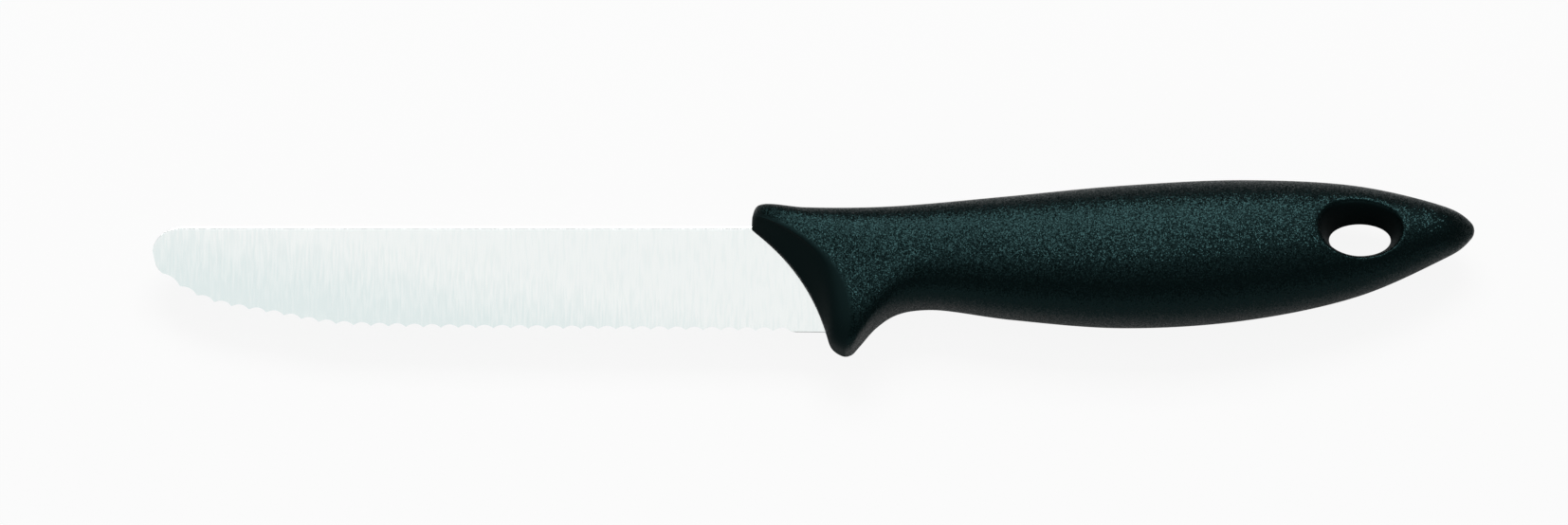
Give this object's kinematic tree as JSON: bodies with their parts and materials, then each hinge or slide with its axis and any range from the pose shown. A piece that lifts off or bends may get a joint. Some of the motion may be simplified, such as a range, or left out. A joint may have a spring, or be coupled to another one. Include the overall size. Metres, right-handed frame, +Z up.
{
  "type": "scalloped kitchen knife",
  "caption": "Round-tipped kitchen knife: a thin steel blade with a scalloped edge and a hidden tang, in a moulded plastic handle with a finger guard and a hanging hole.",
  "frame": {"origin": "middle of the knife's length and height, on the surface that it lies on with its side", "axes": "+X along the knife from the tip to the butt, +Y from the cutting edge to the spine, +Z up, across the thickness, out of the face that has no scallops"},
  "size_m": [0.2358, 0.032, 0.0167],
  "materials": {
    "steel": "satin stainless steel with fine grind lines across the blade",
    "plastic": "black moulded plastic, finely etched on the grip and smooth in the front hollow and the hole"
  },
  "bodies": {
    "root": {"blade": "steel", "handle": "plastic"}
  },
  "joints": []
}
